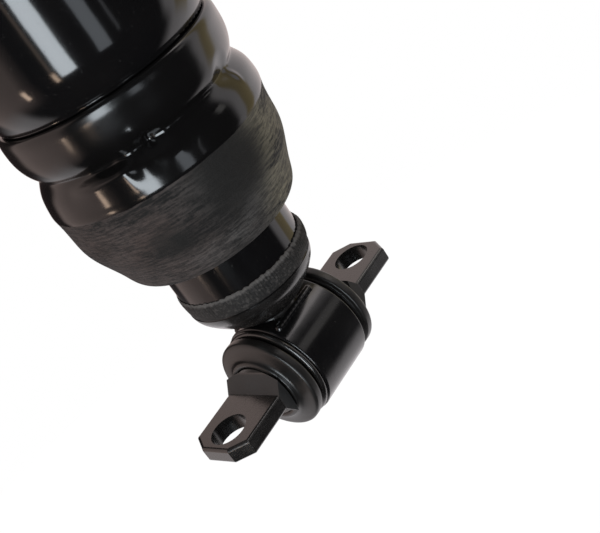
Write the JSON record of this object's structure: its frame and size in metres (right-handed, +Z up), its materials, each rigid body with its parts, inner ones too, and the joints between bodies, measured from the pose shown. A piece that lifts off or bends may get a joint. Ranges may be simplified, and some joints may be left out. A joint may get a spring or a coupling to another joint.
{
  "type": "air shock absorber",
  "caption": "Load-levelling shock absorber: twin-tube damper with a rolling-lobe air sleeve, a bar-pin eye below and a two-bolt rubber mount above.",
  "frame": {"origin": "centre of the bar pin, midway between its two bolt holes", "axes": "+Z up the damper's axis towards the top mount, +X along the bar pin, +Y towards the air port"},
  "size_m": [0.118, 0.0967, 0.3766],
  "materials": {
    "gloss_black": "gloss black enamel over steel",
    "satin_black": "satin black coating over steel",
    "sleeve_rubber": "fabric-reinforced rubber, painted gloss next to the can",
    "moulded_rubber": "moulded rubber",
    "foam": "microcellular foam",
    "plain_steel": "plain machined steel",
    "zinc_plate": "zinc plate",
    "hard_chrome": "polished hard chrome",
    "sintered_iron": "sintered iron",
    "bush_bronze": "bronze-lined bush",
    "fitting_brass": "turned brass",
    "band_plastic": "filled fluoropolymer",
    "collet_plastic": "black acetal"
  },
  "bodies": {
    "lower_pin": {"bar_pin": "satin_black"},
    "damper_body": {"bushing_sleeve": "satin_black", "bushing_rubber": "moulded_rubber", "mounting_eye": "gloss_black", "base_cup": "satin_black", "eye_weld": "gloss_black", "reservoir_tube": "gloss_black", "stop_ring": "moulded_rubber", "pressure_tube": "plain_steel", "base_valve_body": "sintered_iron", "base_valve_rivet": "plain_steel", "base_disc_stack": "plain_steel", "rod_guide": "sintered_iron", "guide_bush": "bush_bronze", "rod_seal": "moulded_rubber", "striker_cap": "plain_steel", "sleeve_inner_ring": "zinc_plate"},
    "intake_plate": {"base_intake_plate": "plain_steel"},
    "rod_and_can": {"piston_rod": "hard_chrome", "piston": "sintered_iron", "piston_band": "band_plastic", "piston_lower_discs": "plain_steel", "piston_upper_discs": "plain_steel", "piston_nut": "plain_steel", "stop_washer": "plain_steel", "rebound_bumper": "moulded_rubber", "air_sleeve": "sleeve_rubber", "sleeve_support_ring": "zinc_plate", "outer_can": "gloss_black", "top_cap": "gloss_black", "can_weld": "gloss_black", "rod_o_ring": "moulded_rubber", "bump_stop": "foam", "lower_washer": "zinc_plate", "upper_washer": "zinc_plate", "mount_spacer": "zinc_plate", "stem_nut": "zinc_plate", "port_boss": "gloss_black", "port_fitting": "fitting_brass", "port_o_ring": "moulded_rubber"},
    "collet": {"port_collet": "collet_plastic"},
    "top_mount": {"mount_plate": "satin_black", "mount_rubber": "moulded_rubber"}
  },
  "joints": [
    {"name": "bushing_twist", "type": "hinge", "parent": "lower_pin", "child": "damper_body", "pos_m": [0, 0, 0], "axis": [1, 0, 0], "range_deg": [-12, 12], "stiffness_Nm_per_rad": 60},
    {"name": "damper_stroke", "type": "slide", "parent": "damper_body", "child": "rod_and_can", "axis": [0, 0, 1], "range_m": [-0.012, 0.12], "deforming": ["air_sleeve"]},
    {"name": "intake_lift", "type": "slide", "parent": "damper_body", "child": "intake_plate", "axis": [0, 0, 1], "range_m": [0, 0.0008]},
    {"name": "mount_tilt", "type": "hinge", "parent": "rod_and_can", "child": "top_mount", "pos_m": [0, 0, 0.3275], "axis": [1, 0, 0], "range_deg": [-4, 4], "stiffness_Nm_per_rad": 40},
    {"name": "collet_push", "type": "slide", "parent": "rod_and_can", "child": "collet", "axis": [0, -1, 0], "range_m": [0, 0.001], "stiffness_N_per_m": 400}
  ]
}
